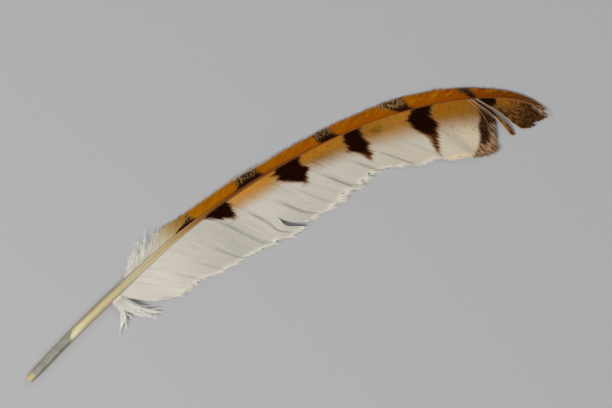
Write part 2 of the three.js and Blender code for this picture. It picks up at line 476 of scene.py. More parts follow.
def tone(red, green, blue):
    # screen colour 0-255 to the linear colour that shows it under the studio's light
    screen = np.clip(np.array([red, green, blue]) * exposure["gain"] / 255, 0, 1)
    linear = np.where(screen <= 0.04045, screen / 12.92, ((screen + 0.055) / 1.055) ** 2.4)
    return tuple(float(x) for x in np.clip(linear / exposure["light"], 0, 0.95))


class WebPaint(Paint):            # a web's material, with the numbers that its barbs carry
    def __init__(self, name):
        super().__init__(name, 0.85, Specular_IOR_Level=0.02)
        self.station, self.reach, self.root = self.parts("place")
        self.across, self.toTip = self.parts("barb")[1:]
        self.chance, self.lockChance = self.parts("chance")[:2]

    def ragged(self, across, along, seed):
        # a shift that changes from barb to barb and slowly along them, in millimetres
        return (self.noise(self.root * across, self.reach * along, seed) - 0.5) * 6.0

    def close(self, colour, shades, grain):
        # a lighter ridge along every barb and a shade of its own, then the bump of barbules and grain
        base, ridge, barbShade = shades
        line = self.across.size().between(0.34, 0.0)
        self.colour(self.scaled(colour, base + line * ridge + (self.chance - 0.5) * barbShade))
        barbules = (self.reach * 46.0 + self.across.size() * 5.0).wave()
        self.bump(barbules * 0.2 + grain, 0.00002, 0.5)
        return self.material


def insideBar(paint, station, reach, rows):
    # how deep inside a bar a place is, in millimetres; rows are reach, near station, far station
    near = paint.chart(reach, [(r[0], r[1]) for r in rows])
    far = paint.chart(reach, [(r[0], r[2]) for r in rows])
    return (station - near).least(far - station).least(float(rows[-1][0]) - reach)


def insideBars(paint, station, reach, bars):
    # the deepest of all the bars
    deep = None
    for rows in bars:
        inside = insideBar(paint, station, reach, rows)
        deep = inside if deep is None else deep.most(inside)
    return deep


# ---- shaft ----

hornTones = {
    "grey": (111, 109, 101),
    "mottle": (127, 124, 115),
    "rim": (146, 136, 92),
    "white": (188, 180, 158),
    "core": [(30, (168, 154, 119)), (54, (158, 143, 107)), (68, (150, 129, 82)), (76, (132, 100, 54)),
             (83, (108, 70, 26)), (92, (92, 50, 8)), (124, (86, 46, 6)), (132, (106, 58, 4)),
             (146, (104, 60, 8)), (160, (124, 74, 14)), (170, (84, 48, 18)), (180, (106, 58, 8)),
             (200, (96, 58, 24)), (219, (130, 100, 70))],
    # the sides of the shaft, where the webs' barbs lie over it
    "outerSide": [(30, (150, 138, 106)), (46, (148, 139, 112)), (56, (158, 152, 132)), (68, (160, 150, 124)),
                  (78, (142, 116, 76)), (86, (122, 78, 26)), (100, (98, 54, 6)), (116, (110, 58, 4)),
                  (150, (114, 62, 6)), (180, (102, 48, 2)), (200, (90, 42, 4)), (219, (100, 70, 40))],
    "innerSide": [(30, (154, 142, 110)), (46, (150, 141, 114)), (56, (158, 152, 132)), (68, (160, 150, 124)),
                  (78, (142, 116, 76)), (86, (116, 72, 24)), (100, (104, 60, 8)), (116, (116, 66, 6)),
                  (136, (136, 84, 14)), (160, (144, 92, 24)), (180, (110, 62, 6)), (219, (104, 70, 36))],
    "bar": (30, 11, 4),
    # near and far station of each bar where it crosses that side
    "outerBars": [(100.3, 112.6), (135.4, 143), (166, 171.6), (191.6, 194.8)],
    "innerBars": [(86.5, 95.4), (116.6, 126.6), (144, 151.4), (170, 178.2), (195.4, 200.6)],
    # the clear part of the quill: where its slanting end begins, and how far the whitish streak runs past it
    "clearEnd": 21.0,
    "streakEnd": 32.0,
}


def sideTones(paint, own, station, across, grain):
    # the colours of the shaft's two sides, with the webs' bars run on over them
    def barred(rows):
        inside = None
        for near, far in rows:
            deep = (station - near).least(far - station)
            inside = deep if inside is None else inside.most(deep)
        return (inside + (grain - 0.5) * 2).between(-0.4, 0.6)

    outward = across.between(-0.1, 0.1)
    sides = paint.mix(outward, paint.ramp(station, own["innerSide"]), paint.ramp(station, own["outerSide"]))
    bars = outward * barred(own["outerBars"]) + (1 - outward) * barred(own["innerBars"])
    return paint.mix(bars * 0.85, sides, own["bar"])


def hornPaint(own):
    paint = Paint("quill horn", 0.42, Specular_IOR_Level=0.15)
    station, across, angle = paint.parts("place")
    side = across.size()
    grain = paint.noise(station * 0.06, across * 3.2, angle * 0.4, scale=1.4, detail=4.0)
    fine = paint.noise(station * 0.5, across * 9.0, detail=3.0)
    sides = sideTones(paint, own, station, across, grain)
    colour = paint.mix(side.between(0.22, 0.56), paint.ramp(station, own["core"]), sides)
    # the lower quill is clear and greyish, with a slanting end, a whitish streak past it and a rim each side
    end = own["clearEnd"]
    slant = station - across * 2.0 + (grain - 0.5) * 4.0
    streak = slant.between(end + 0.4, end + 2.0) * slant.between(own["streakEnd"], end + 2.5)
    colour = paint.mix(streak * (0.30 + across.between(0.6, -0.6) * 0.4), colour, own["white"])
    mottle = paint.noise(station * 0.25, across * 0.8, scale=1.2).between(0.30, 0.70)
    clear = slant.between(end + 1.8, end) * station.between(1.2, 3.6)
    colour = paint.mix(clear, colour, paint.mix(mottle, own["grey"], own["mottle"]))
    colour = paint.mix(side.between(0.72, 0.95) * slant.between(36.0, 22.0) * 0.8, colour, own["rim"])
    colour = paint.mix(station.between(3.0, 0.4) * 0.7, colour, own["rim"])
    scratch = paint.noise(station * 0.12, across * 14.0, 3.0, detail=4.0, rough=0.7)
    colour = paint.scaled(colour, 0.80 + grain * 0.16 + scratch * 0.22)
    # painted shade: the quill's far side lies in its own shade, and past it the near side is painted a little
    # darker
    colour = paint.scaled(colour, 1 - across.between(-0.5, -0.95) * station.between(24, 18) * 0.45)
    paintedNearShade = across.between(0.3, 0.9) * station.between(20, 26) * station.between(50, 44)
    paint.colour(paint.scaled(colour, 1 - paintedNearShade * 0.14))
    paint.bump(fine * 0.5 + grain + scratch, 0.00005, 0.7)
    return paint.material


def makeShaft(own):
    # rings of points: centre line + (width/2 cos a, height/2 sin a), with a groove pressed into the back by
    # depth * exp(-(x / 0.3)^2), run from the point of the bore out over the cut end and along to the tip
    inner = np.array([own["bore"] + own["borePoint"], *np.linspace(own["bore"], 0.35, 14)])
    innerShare = np.array([0.10, *np.full(14, own["boreShare"])])
    rim = np.array([0.10, 0.0, 0.0, 0.08, 0.25])
    rimShare = np.array([0.70, 0.76, 0.90, 0.97, 1.0])
    outer = np.concatenate([np.linspace(0.6, own["end"] - 0.5, own["rings"]), [own["end"] - 0.1, own["end"]]])
    outerShare = np.concatenate([np.ones(own["rings"]), [0.8, 0.3]])
    station = np.concatenate([inner, rim, outer])[:, None]
    share = np.concatenate([innerShare, rimShare, outerShare])[:, None]
    angle = (np.arange(own["around"]) / own["around"] * 2 * math.pi)[None]
    width, height = shaftWidth(station), shaftHeight(station)
    skin = (np.arange(len(station)) >= len(inner))[:, None]
    wobble = 1 + skin * 0.012 * drift(station + angle * 0, 4.0, 3)
    x, y = np.cos(angle), np.sin(angle)
    boxy = (np.abs(x) ** 2.3 + np.abs(y) ** 2.3) ** (-1 / 2.3)
    x, y = x * boxy, y * boxy
    grooved = smoothstep(station, 44, 60) * skin
    dip = own["groove"] * grooved * np.exp(-(x / 0.34) ** 2) * (y > 0)
    reach = share * width / 2 * x * wobble
    z = floorHeight + shaftLift(station) + height / 2 + share * height / 2 * (y - dip)
    points = onFeather(station + 0 * reach, reach, z)
    rings, around = points.shape[:2]
    walls, lids = strandFaces(1, rings, around)
    place = np.stack([station + 0 * reach, x + 0 * station, angle + 0 * station], -1)
    return {
        "points": points.reshape(-1, 3), "faces": [walls, lids], "uv": strandUvs(1, rings, around, (0, 1)),
        "place": place.reshape(-1, 3), "barb": place.reshape(-1, 3) * 0, "chance": place.reshape(-1, 3) * 0,
    }


addPiece("shaft", [makeShaft(shaft)], hornPaint(hornTones), "shaft", smooth=True)

# ---- webs ----

web = {"ground": 0.26, "attach": 0.6, "fall": 1.15}


def leanStation(root, reach, table, unit):
    # root + the barb's slope summed outward; the slope is the parabola through the table's three values,
    # at the shaft and at one and two units out
    s0, s1, s2 = (lookUp(table, root, column) for column in (1, 2, 3))
    c = (s2 - 2 * s1 + s0) / 2
    b = s1 - s0 - c
    out = reach / unit
    return root + unit * (s0 * out + b * out ** 2 / 2 + c * out ** 3 / 3)


def webHeight(station, share):
    # ground + (where it meets the shaft - ground) * (share of the way still to go) ^ fall
    top = np.maximum(web["ground"], shaftLift(station) + web["attach"] * shaftHeight(station))
    return floorHeight + web["ground"] + (top - web["ground"]) * np.clip(1 - share, 0, 1) ** web["fall"]


def locks(roots, size, rng):
    # neighbouring barbs cling in small locks: each barb's place in its lock from -1 to 1, the lock's number
    # and half its width
    cuts = roots[0] + np.cumsum(rng.uniform(0.5, 1.6, 4 + int((roots[-1] - roots[0]) / size * 2)) * size)
    cuts = np.concatenate([[roots[0] - size], cuts])
    number = np.searchsorted(cuts, roots, side="right")
    low, high = cuts[number - 1], cuts[number]
    return (roots - (low + high) / 2) / ((high - low) / 2), number, (high - low) / 2


def tableBarbs(own, shift=None):
    # barbs from an outline: reach grows from inside the shaft to the outline's, station follows leanStation
    def barbs(roots, change, along):
        tip = np.maximum(lookUp(own["outline"], roots) + change, shaftWidth(roots) / 2 + 0.25)
        start = shaftWidth(roots)[:, None] * 0.3
        reach = start + (tip[:, None] - start) * along
        station = leanStation(roots[:, None], reach, own["lean"], own["unit"])
        if shift:
            station = station + shift(roots[:, None], reach)
        return station, reach
    return barbs


def guideBarbs(own):
    # barbs between drawn ones: each guide is a spline, and a barb lies its share of the way
    # from one to the next
    curves = np.array([evenly(curveThrough(guide, 60), 121) for guide in own["guides"]])
    heads = curves[:, 0, 0]

    def barbs(roots, change, along):
        at = np.interp(roots, heads, np.arange(len(heads)))
        low = np.minimum(at.astype(int), len(heads) - 2)
        share = (at - low)[:, None, None]
        full = curves[low] * (1 - share) + curves[low + 1] * share
        size = np.linalg.norm(np.diff(full, axis=1), axis=-1).sum(1)
        cell = along * np.clip(1 + change / size, 0.55, 1.12)[:, None] * 120
        base = np.minimum(cell.astype(int), 119)
        row = np.arange(len(roots))[:, None]
        points = full[row, base] + (full[row, base + 1] - full[row, base]) * (cell - base)[..., None]
        return points[..., 0], points[..., 1]
    return barbs


def evenly(curve, count):
    # the same curve as count points at equal steps along it
    length = np.concatenate([[0], np.cumsum(np.linalg.norm(np.diff(curve, axis=0), axis=1))])
    at = np.linspace(0, length[-1], count)
    return np.stack([np.interp(at, length, curve[:, 0]), np.interp(at, length, curve[:, 1])], -1)


def makeWeb(own, barbs, relief, rows=(0, 1)):
    # one roof-shaped strip for every barb, as wide as the gap to its neighbours and drawn to a point over its
    # free end; locks of neighbours lean together there and end at slightly different reaches
    rng = np.random.default_rng(own["seed"])
    first, last = own["from"], own["to"]
    count = int((last - first) / own["spacing"]) + 1
    roots = np.linspace(first, last, count)
    roots[1:-1] += rng.uniform(-0.2, 0.2, count - 2) * own["spacing"]
    inLock, lock, lockHalf = locks(roots, own["lock"], rng)
    chance = rng.uniform(0, 1, (count, 3))
    chance[:, 1] = rng.uniform(0, 1, lock.max() + 1)[lock]
    fray = lookUp(own["fray"], roots)
    change = fray * (own["nick"] * (chance[:, 1] - 0.3 - inLock ** 2) + own["uneven"] * (chance[:, 0] - 0.5))
    along = np.sin(np.linspace(0, math.pi / 2, own["steps"] + 1))[None]
    station, reach = barbs(roots, change, along)
    path = np.stack([station, reach], -1)
    left = np.linalg.norm(np.diff(path, axis=1), axis=-1)[:, ::-1].cumsum(1)[:, ::-1]
    toTip = np.concatenate([left, np.zeros((count, 1))], 1)
    share = 1 - toTip / toTip[:, :1]
    free = smoothstep(toTip, own["free"], 0.0)
    station = station - free * (inLock * lockHalf * own["cling"] * fray)[:, None]
    station = station + free ** 2 * lookUp(own["curl"], roots)[:, None] * (chance[:, 2:3] - 0.35)
    height = webHeight(station, share)
    height = height + relief(roots[:, None], reach, share, chance)
    height = height + free ** 2 * own["lift"] * chance[:, 1:2]
    height = np.maximum(height, floorHeight + 0.09)
    centre = onFeather(station, own["side"] * reach, height)
    gap = np.gradient(centre[..., :2], axis=0)
    run = np.gradient(centre[..., :2], axis=1)
    run /= np.linalg.norm(run, axis=-1, keepdims=True)
    between = np.abs(gap[..., 0] * run[..., 1] - gap[..., 1] * run[..., 0])
    half = np.clip(between, 0.10, own["widest"]) / 2 * own["overlap"]
    half = half * (1 - own["taper"] * free) * (1 - 0.86 * smoothstep(toTip, 0.30, 0.0))
    rise = own["rise"] * (1 - 0.6 * share) * (1 - 0.6 * free)
    place = np.stack([station, reach, roots[:, None] + 0 * reach], -1)
    lean = own["tilt"] * own["side"]
    return strandPart(centre, half, rise, roof, place, (share, toTip), chance, lean, rows)


def makeFringe(own, barbs, side, relief, rows=(0.85, 1)):
    # fine free ends along the edge: each starts a little inside its barb's tip and runs on past it, turning
    # aside by curl * t^2 and lifting by lift * t^2
    rng = np.random.default_rng(own["seed"])
    spread = np.array(own["where"], float)
    weight = np.concatenate([[0], np.cumsum(np.diff(spread[:, 0]) * (spread[1:, 1] + spread[:-1, 1]) / 2)])
    roots = np.sort(np.interp(rng.uniform(0, weight[-1], own["count"]), weight, spread[:, 0]))
    t = np.linspace(0, 1, own["steps"] + 1)[None]
    stationEnd, reachEnd = barbs(roots, 0 * roots, np.array([[0.90, 1.0]]))
    way = np.stack([stationEnd[:, 1] - stationEnd[:, 0], reachEnd[:, 1] - reachEnd[:, 0]], -1)
    way /= np.linalg.norm(way, axis=1, keepdims=True)
    size = lookUp(own["length"], roots) * rng.uniform(0.4, 1.3, own["count"])
    run = -own["inside"] * rng.uniform(0.3, 1.5, (own["count"], 1)) + (own["inside"] + size)[:, None] * t
    curl = lookUp(own["curl"], roots)[:, None] * rng.uniform(-0.3, 1.3, (own["count"], 1))
    turn = curl * size[:, None] * t ** 2
    station = stationEnd[:, 1:] + way[:, :1] * run + way[:, 1:] * turn
    reach = reachEnd[:, 1:] + way[:, 1:] * run - way[:, :1] * turn
    height = webHeight(station, np.ones_like(station)) + own["above"]
    height = height + own["lift"] * t ** 2 * rng.uniform(0, 1, (own["count"], 1))
    height = height + relief(roots[:, None], reach, np.ones_like(reach), np.full((own["count"], 3), 0.5))
    centre = onFeather(station, side * reach, np.maximum(height, floorHeight + 0.06))
    half = own["half"] * (1 - 0.8 * t) * rng.uniform(0.7, 1.3, (own["count"], 1))
    place = np.stack([station, reach, roots[:, None] + 0 * reach], -1)
    chance = rng.uniform(0, 1, (own["count"], 3))
    barb = (t + 0 * half, -t - 0.02 + 0 * half)
    return strandPart(centre, half, half * 0.5, blade, place, barb, chance, rows=rows)


# ---- inner web ----

innerVane = {
    "seed": 11, "side": -1, "from": 42.3, "to": 191.8, "spacing": 0.40, "steps": 22,
    # root, reach
    "outline": [(42.3, 8.5), (42.9, 11.3), (44.3, 12.8), (45.4, 14.4), (46.6, 16.6), (48.9, 16.5),
                (50.7, 17.0), (53.3, 17.3), (56.8, 17.3), (58.5, 17.9), (60.3, 18.8), (61.5, 19.6),
                (64.8, 20.2), (68, 20.5), (69.6, 21.0), (75.4, 21.2), (80.3, 21.8), (83.2, 22.2), (84.6, 23),
                (85.8, 23.5), (86.8, 22.5), (89.6, 22.4), (90.4, 24.0), (91.4, 24.4), (94.8, 24.0),
                (97.9, 23.4), (98.1, 22.0), (99.1, 22.7), (101.4, 22.3), (103.6, 22.0), (107, 22.5),
                (109.6, 21.3), (112.4, 21.6), (115, 20.5), (117.4, 19.8), (119.8, 18.8), (120.8, 19.8),
                (122.6, 19.7), (124, 18.7), (126.2, 18.7), (128.2, 17.8), (131.6, 17.0), (132.7, 17.9),
                (135.4, 17.3), (138, 18.4), (139.8, 18.9), (141, 20.1), (143.1, 20.2), (146.1, 19.7),
                (150.4, 19.4), (152, 21.3), (156.6, 20.6), (161.4, 21), (165, 20.9), (168.4, 20.6),
                (172.3, 20.0), (176.2, 19.2), (179.6, 18.0), (182.5, 15), (184.9, 13), (187.1, 11),
                (189, 9.2), (190.3, 7.7), (191.8, 6.4)],
    # root, slope at the shaft, at 10 and at 20 out
    "lean": [(42, 0.90, 0.78, 1.00), (60, 0.92, 0.72, 0.90), (80, 0.95, 0.52, 0.85), (95, 0.98, 0.55, 0.90),
             (110, 1.10, 0.76, 1.15), (125, 1.20, 0.86, 1.40), (140, 1.30, 1.15, 1.75),
             (160, 1.35, 1.30, 1.75), (180, 1.40, 1.18, 1.45), (192, 1.40, 1.25, 1.45)],
    "unit": 10,
    "fray": [(42, 1.0), (50, 0.8), (56, 0.45), (64, 0.3), (80, 0.25), (90, 0.4), (100, 0.4), (112, 0.5),
             (118, 1.0), (132, 1.0), (142, 0.6), (160, 0.5), (176, 0.8), (192, 1.0)],
    "lock": 3.0, "nick": 0.55, "uneven": 0.35, "cling": 0.35, "free": 1.9, "taper": 0.25,
    "curl": [(42, 0.3), (80, 0.3), (110, 0.5), (125, 1.0), (140, 0.7), (192, 0.5)],
    "lift": 0.25, "overlap": 1.30, "widest": 0.62, "rise": 0.034, "tilt": 0.04,
    # the parted place: barbs up to this root are drawn back, those past it are swept on
    "splitRoot": 98, "splitDepth": 14.7, "splitWide": 20, "splitEnd": 23.8,
    "opening": 2.8, "near": 7, "forward": 4.4, "far": 9,
    # folds where one run of barbs lies over the next: root, from reach, to reach, step, how far it spreads
    "folds": [(56, 8, 18, 0.20, 2.2), (64, 9, 19, 0.16, 2.4), (73, 8, 20, 0.20, 2.6),
              (84.2, 3.5, 20, 0.34, 2.4), (93, 6, 21, 0.38, 2.6), (98.05, 12, 22, 0.22, 3.0),
              (102.4, 9, 20, 0.40, 2.2), (110, 9, 19, 0.22, 2.4), (120.8, 8, 19, 0.46, 2.6),
              (131.4, 8, 17, 0.36, 2.4), (140.2, 8, 18, 0.32, 2.6), (151, 9, 19, 0.16, 2.6)],
    "ripple": 0.03, "swell": 0.36,
}
innerFringe = {
    "seed": 12, "count": 900, "steps": 6, "inside": 1.0, "half": 0.075, "above": 0.05, "lift": 0.5,
    "where": [(42, 6.0), (47, 5.0), (52, 2.2), (60, 1.2), (80, 0.8), (96, 1.2), (103, 1.4), (108, 3.6),
              (114, 4.2), (121, 4.0), (126, 2.6), (134, 2.4), (142, 1.6), (160, 1.6), (176, 2.4), (184, 3.4),
              (191, 3.0)],
    "length": [(42, 1.3), (48, 1.2), (56, 0.8), (80, 0.5), (96, 0.9), (104, 0.9), (109, 1.7), (114, 2.1),
               (122, 2.0), (132, 1.4), (142, 1.0), (165, 0.8), (178, 1.6), (191, 1.0)],
    "curl": [(42, 0.4), (90, 0.5), (106, 0.8), (112, 1.3), (124, 1.2), (138, 0.8), (150, 0.6), (178, 0.5),
             (191, 0.3)],
}


def splitShift(root, reach):
    # near the parting the barbs on its near side are drawn back in a hollow curve and those past it swept on
    own = innerVane
    hollow = smoothstep(reach, own["splitDepth"], own["splitWide"])
    hollow = hollow * (1 - 0.85 * smoothstep(reach, own["splitWide"], own["splitEnd"]))
    back = own["opening"] * np.exp(np.minimum(root - own["splitRoot"], 0) / own["near"]) * hollow
    swept = smoothstep(reach, 17, 24) ** 1.4
    on = own["forward"] * np.exp(-np.maximum(root - own["splitRoot"], 0) / own["far"]) * swept
    return np.where(root <= own["splitRoot"], -back, on)


def innerRelief(root, reach, share, chance):
    # ripples that run with the barbs and a slower swell, both growing outward, and a fold at each root
    # listed: a slow rise up to it, a short fall past it and a shallow trough beyond
    own = innerVane
    height = own["ripple"] * share * (drift(root, 2.4, 21) + 0.6 * drift(root, 1.0, 22))
    height = height + 0.010 * (chance[:, 0:1] - 0.5)
    swell = own["swell"] * share * (1 + drift(root + 0.35 * reach, 7.0, 23))
    height = height + swell * smoothstep(share, 0.1, 0.6)
    height = height + 0.35 * np.sin(math.pi * share) * share
    for at, low, high, step, spread in own["folds"]:
        where = smoothstep(reach, low, low + 6) * (1 - 0.7 * smoothstep(reach, high, high + 3))
        past = root - at
        rise = np.exp(np.minimum(past, 0) / spread) * (1 - smoothstep(past, 0.0, 1.7))
        height = height + where * step * (rise - 0.35 * np.exp(-((past - 2.4) / 1.3) ** 2))
    return height


innerTones = {
    "white": (173, 168, 158), "shade": (161, 156, 146), "cream": (166, 150, 122), "edge": (187, 182, 170),
    "hair": (200, 193, 178),
    "band": [(84, (150, 130, 100)), (94, (156, 112, 56)), (100, (158, 110, 48)), (116, (150, 98, 30)),
             (130, (144, 92, 18)), (142, (140, 90, 24)), (152, (126, 82, 20)), (165, (138, 92, 30)),
             (180, (130, 78, 8)), (194, (122, 78, 20))],
    "halo": [(84, (140, 120, 92)), (96, (146, 112, 68)), (108, (148, 116, 72)), (132, (118, 82, 34)),
             (145, (120, 86, 40)), (160, (138, 102, 50)), (180, (120, 82, 28)), (194, (122, 86, 40))],
    # reach at which the tan has half gone
    "bandWidth": [(60, 0.05), (88, 0.1), (93, 1.4), (97, 4.4), (108, 5.2), (116, 4.6), (128, 5.0), (138, 5.8),
                  (150, 6.0), (160, 6.8), (168, 6.8), (178, 7.2), (190, 7.6), (220, 7.6)],
    "wash": [(60, 0.0), (128, 0.0), (150, 0.25), (165, 0.30), (180, 0.55), (192, 0.80), (220, 0.80)],
    # painted light and shade: a factor on the web's colour along the feather, about 1.05 near the quill and
    # down to 0.79 near station 90
    "light": [(40, 1.07), (52, 1.03), (62, 1.05), (72, 0.94), (80, 0.87), (90, 0.79), (98, 0.88), (105, 0.97),
              (116, 0.88), (135, 0.91), (150, 0.88), (165, 0.86), (180, 0.93), (220, 0.93)],
    "grime": (84, 52, 16), "freckle": (104, 72, 34), "yellow": (184, 158, 112), "smudge": (60, 36, 12),
    "smudgeAt": (151.8, 159.2),
    "bar": (19, 4, 1), "barEdge": (64, 32, 8), "barRim": (118, 82, 48), "tail": (98, 62, 34),
    "dusky": (88, 58, 24), "brown": (34, 16, 5), "brownLight": (76, 46, 20), "specks": (156, 126, 98),
    "tips": (88, 56, 34), "tipsLight": (158, 126, 94),
    # reach, near station, far station
    "bars": [
        [(0, 84.0, 95.4), (1, 85.6, 95.9), (2, 87, 96.2), (3, 88, 96.2), (4, 89.5, 95.8), (5, 91.3, 95.6),
         (6, 93, 95.4), (6.9, 94, 94.9)],
        [(0, 116.6, 126.6), (1, 115.8, 126.4), (1.6, 114.4, 126), (2.3, 115.7, 125.8), (3, 116.6, 125.8),
         (4.2, 115.3, 126.4), (4.8, 116.5, 127.4), (5.4, 117, 127.7), (6, 118, 127), (7, 119.4, 126),
         (8, 121.3, 125.3), (9, 123, 124.9), (9.8, 123.6, 124.4)],
        [(0, 144, 151.4), (1, 143.4, 150.3), (2, 143.1, 150.3), (2.6, 142.6, 150.6), (4.5, 143.5, 150.9),
         (6.3, 143.2, 151.6), (7, 144.2, 151.8), (7.6, 145.4, 150.6), (9, 147.4, 150.6),
         (10.2, 148.6, 151.4), (11.5, 149.4, 150.4)],
        [(0, 170, 178.2), (1, 169.3, 177.6), (2, 168.5, 177.2), (3, 167.9, 176.9), (3.5, 166.9, 176.6),
         (4.2, 168, 176.7), (6, 168.6, 177.9), (7, 169.2, 178.3), (8, 170.3, 178.2), (9, 171.2, 177.8),
         (10, 172.8, 177.6), (10.6, 174, 177.5), (12, 174.7, 177.3), (14, 175.1, 177),
         (16.2, 175.8, 176.7)],
    ],
    "tails": [
        [(9, 147.2, 150.8), (11, 148.5, 150.9), (13.4, 149.8, 150.6)],
        [(9, 171.5, 177.6), (13, 173.8, 177.2), (17.5, 175.6, 177.2), (18.8, 176.6, 178.0)],
    ],
    # reach, and the station where the brown begins there
    "end": [(0, 195.6), (2, 194.6), (4, 194.7), (8, 194.8), (10, 194.0), (14, 194.6), (16, 194.2),
            (18, 193.2), (22, 190.0)],
}


def innerPaint(own):
    # the white ground, shaded in streaks and with painted light and shade along the feather, then what lies
    # on it from the tan to the brown end
    paint = WebPaint("pale web")
    station, reach, root, toTip = paint.station, paint.reach, paint.root, paint.toTip
    # streaks that run with the barbs: fast across them, slow along them
    streak = paint.noise(root * 1.1, reach * 0.10, detail=3.0, rough=0.65)
    cloud = paint.noise(root * 0.10, reach * 0.16)
    ragged = paint.ragged(1.1, 0.12, 4.0) + (paint.chance - 0.5) * 0.9
    colour = paint.mix(streak.between(0.22, 0.80), own["shade"], own["white"])
    # painted shade along the feather, deepest near station 90, and painted light near the quill
    colour = paint.scaled(colour, paint.chart(station, own["light"]))
    wash = paint.chart(station, own["wash"]) * (0.55 + cloud.between(0.35, 0.65) * 0.45)
    colour = paint.mix(wash, colour, own["cream"])
    colour = paint.mix(toTip.between(3.2, 0.1) * 0.65, colour, own["edge"])
    colour = paint.mix(toTip.between(0.0, -0.4) * 0.8, colour, own["hair"])
    colour = innerTan(paint, own, colour, streak, ragged)
    colour = innerBarred(paint, own, colour, ragged)
    colour = innerEnd(paint, own, colour, ragged)
    return paint.close(colour, (0.975, 0.035, 0.035), streak)


def innerTan(paint, own, colour, streak, ragged):
    # tan beside the shaft that fades outward, its grime, the specks and yellow past the last bar, and a dark
    # smudge between the third and the fourth
    station, reach, root = paint.station, paint.reach, paint.root
    depth = (reach + ragged * 0.45) / paint.chart(station, own["bandWidth"])
    colour = paint.mix(depth.between(1.75, 0.60), colour, paint.ramp(station, own["halo"]))
    colour = paint.mix(depth.between(0.95, 0.30), colour, paint.ramp(station, own["band"]))
    grime = paint.noise(root * 1.5, reach * 0.9, 9.0, detail=3.0, rough=0.65).between(0.50, 0.64)
    grime = grime * depth.between(1.0, 0.5) * station.between(112, 128)
    colour = paint.mix(grime * 0.60, colour, own["grime"])
    specks = paint.noise(root * 2.2, reach * 1.3, 3.0, rough=0.6).between(0.54, 0.63)
    specks = specks * station.between(176, 184) * reach.between(17, 11)
    colour = paint.mix(specks * 0.5, colour, own["freckle"])
    yellow = paint.toTip.between(4.5, 0.8) * station.between(174, 182) * streak.between(0.42, 0.58)
    colour = paint.mix(yellow * 0.7, colour, own["yellow"])
    near, far = own["smudgeAt"]
    smudge = (station + ragged).between(near, near + 2.8) * (station + ragged).between(far, far - 2.4)
    smudge = smudge * reach.between(1.4, 2.6) * reach.between(5.4, 3.8) * streak.between(0.40, 0.62)
    return paint.mix(smudge * 0.95, colour, own["smudge"])


def innerBarred(paint, own, colour, ragged):
    # bars with edges that run out in fingers along the barbs, and the faint tails of the third and the fourth
    station, reach = paint.station, paint.reach
    fingers = (paint.noise(paint.root * 2.3, reach * 0.22, 6.0) - 0.5) * 5.0
    deep = insideBars(paint, station + ragged * 0.55 + fingers * 0.4, reach + fingers * 0.25, own["bars"])
    faint = insideBars(paint, station + ragged * 0.35, reach, own["tails"])
    colour = paint.mix(faint.between(-0.4, 0.9) * 0.8, colour, own["tail"])
    colour = paint.mix(deep.between(-1.6, 0.0) * 0.55, colour, own["barRim"])
    core = (deep - reach.between(6.5, 14.0) * 1.1 + fingers * 0.3).between(-0.2, 1.4)
    return paint.mix(deep.between(-0.8, 0.7), colour, paint.mix(core, own["barEdge"], own["bar"]))


def innerEnd(paint, own, colour, ragged):
    # the brown end of the web: dusky specks before it, pale streaks along its far side, lighter barb tips
    station, reach, root = paint.station, paint.reach, paint.root
    end = station - paint.chart(reach, own["end"]) + ragged * 0.35
    speckle = paint.noise(root * 2.0, reach * 0.45, 5.0, detail=3.0, rough=0.7)
    dusky = reach.between(7.5, 3.0) * end.between(-5, 0.5) * speckle.between(0.44, 0.58)
    colour = paint.mix(dusky * 0.8, colour, own["dusky"])
    streaks = paint.noise(root * 2.2, reach * 0.16, 8.0, rough=0.6).between(0.44, 0.56)
    pale = streaks * end.between(3.2, 5.4) * reach.between(7.5, 10.0)
    brown = paint.mix(speckle.between(0.66, 0.48), own["brownLight"], own["brown"])
    brown = paint.mix(pale * 0.85, brown, own["specks"])
    low = reach + (speckle - 0.5) * 6
    tips = paint.mix(speckle.between(0.46, 0.60), own["tips"], own["tipsLight"])
    brown = paint.mix(low.between(14.8, 17.8) * 0.85, brown, tips)
    return paint.mix(end.between(-0.9, 0.9), colour, brown)


innerBarbs = tableBarbs(innerVane, splitShift)
addPiece("inner_vane", [makeWeb(innerVane, innerBarbs, innerRelief, (0, 0.85)),
                        makeFringe(innerFringe, innerBarbs, -1, innerRelief)],
         innerPaint(innerTones), "inner_vane")

# ---- outer web ----

outerVane = {
    "seed": 23, "side": 1, "from": 61.0, "to": 217.6, "spacing": 0.42, "steps": 14,
    "outline": [(61, 6.6), (66.5, 5.8), (76, 4.8), (90, 4.6), (100, 4.4), (105, 4.1), (108, 3.9), (112, 4.1),
                (120, 4.3), (145, 4.8), (155, 5.3), (160, 5.3), (166, 4.9), (172, 4.9), (180, 4.3),
                (185, 4.0), (196, 3.1), (205, 2.3), (211, 1.8), (215, 1.5), (217.6, 1.2)],
    "lean": [(60, 1.25, 1.10, 0.90), (80, 1.90, 1.55, 1.10), (214, 2.0, 1.65, 1.15)],
    "unit": 2.5,
    "fray": [(60, 1.2), (66, 0.8), (74, 0.4), (100, 0.4), (150, 0.3), (218, 0.3)],
    "lock": 1.9, "nick": 0.3, "uneven": 0.3, "cling": 0.25, "free": 1.5, "taper": 0.35,
    "curl": [(60, 0.4), (70, -0.4), (218, -0.5)],
    "lift": 0.2, "overlap": 1.28, "widest": 0.5, "rise": 0.05, "tilt": -0.05,
}
outerFringe = {
    "seed": 24, "count": 620, "steps": 4, "inside": 0.7, "half": 0.06, "above": 0.05, "lift": 0.3,
    "where": [(61, 2.0), (70, 1.4), (84, 1.6), (92, 3.2), (124, 3.2), (140, 1.8), (180, 1.0), (217, 0.6)],
    "length": [(61, 1.4), (70, 0.6), (84, 0.7), (94, 0.9), (124, 0.8), (140, 0.5), (200, 0.35), (217, 0.4)],
    "curl": [(61, 0.3), (84, -0.4), (217, -0.5)],
}


def outerRelief(root, reach, share, chance):
    # small ripples along the barbs and a slight upward bow between the shaft and the edge
    bow = 0.30 * np.sin(math.pi * share)
    return 0.05 * share * drift(root, 2.2, 31) + bow + 0.012 * (chance[:, 0:1] - 0.5)


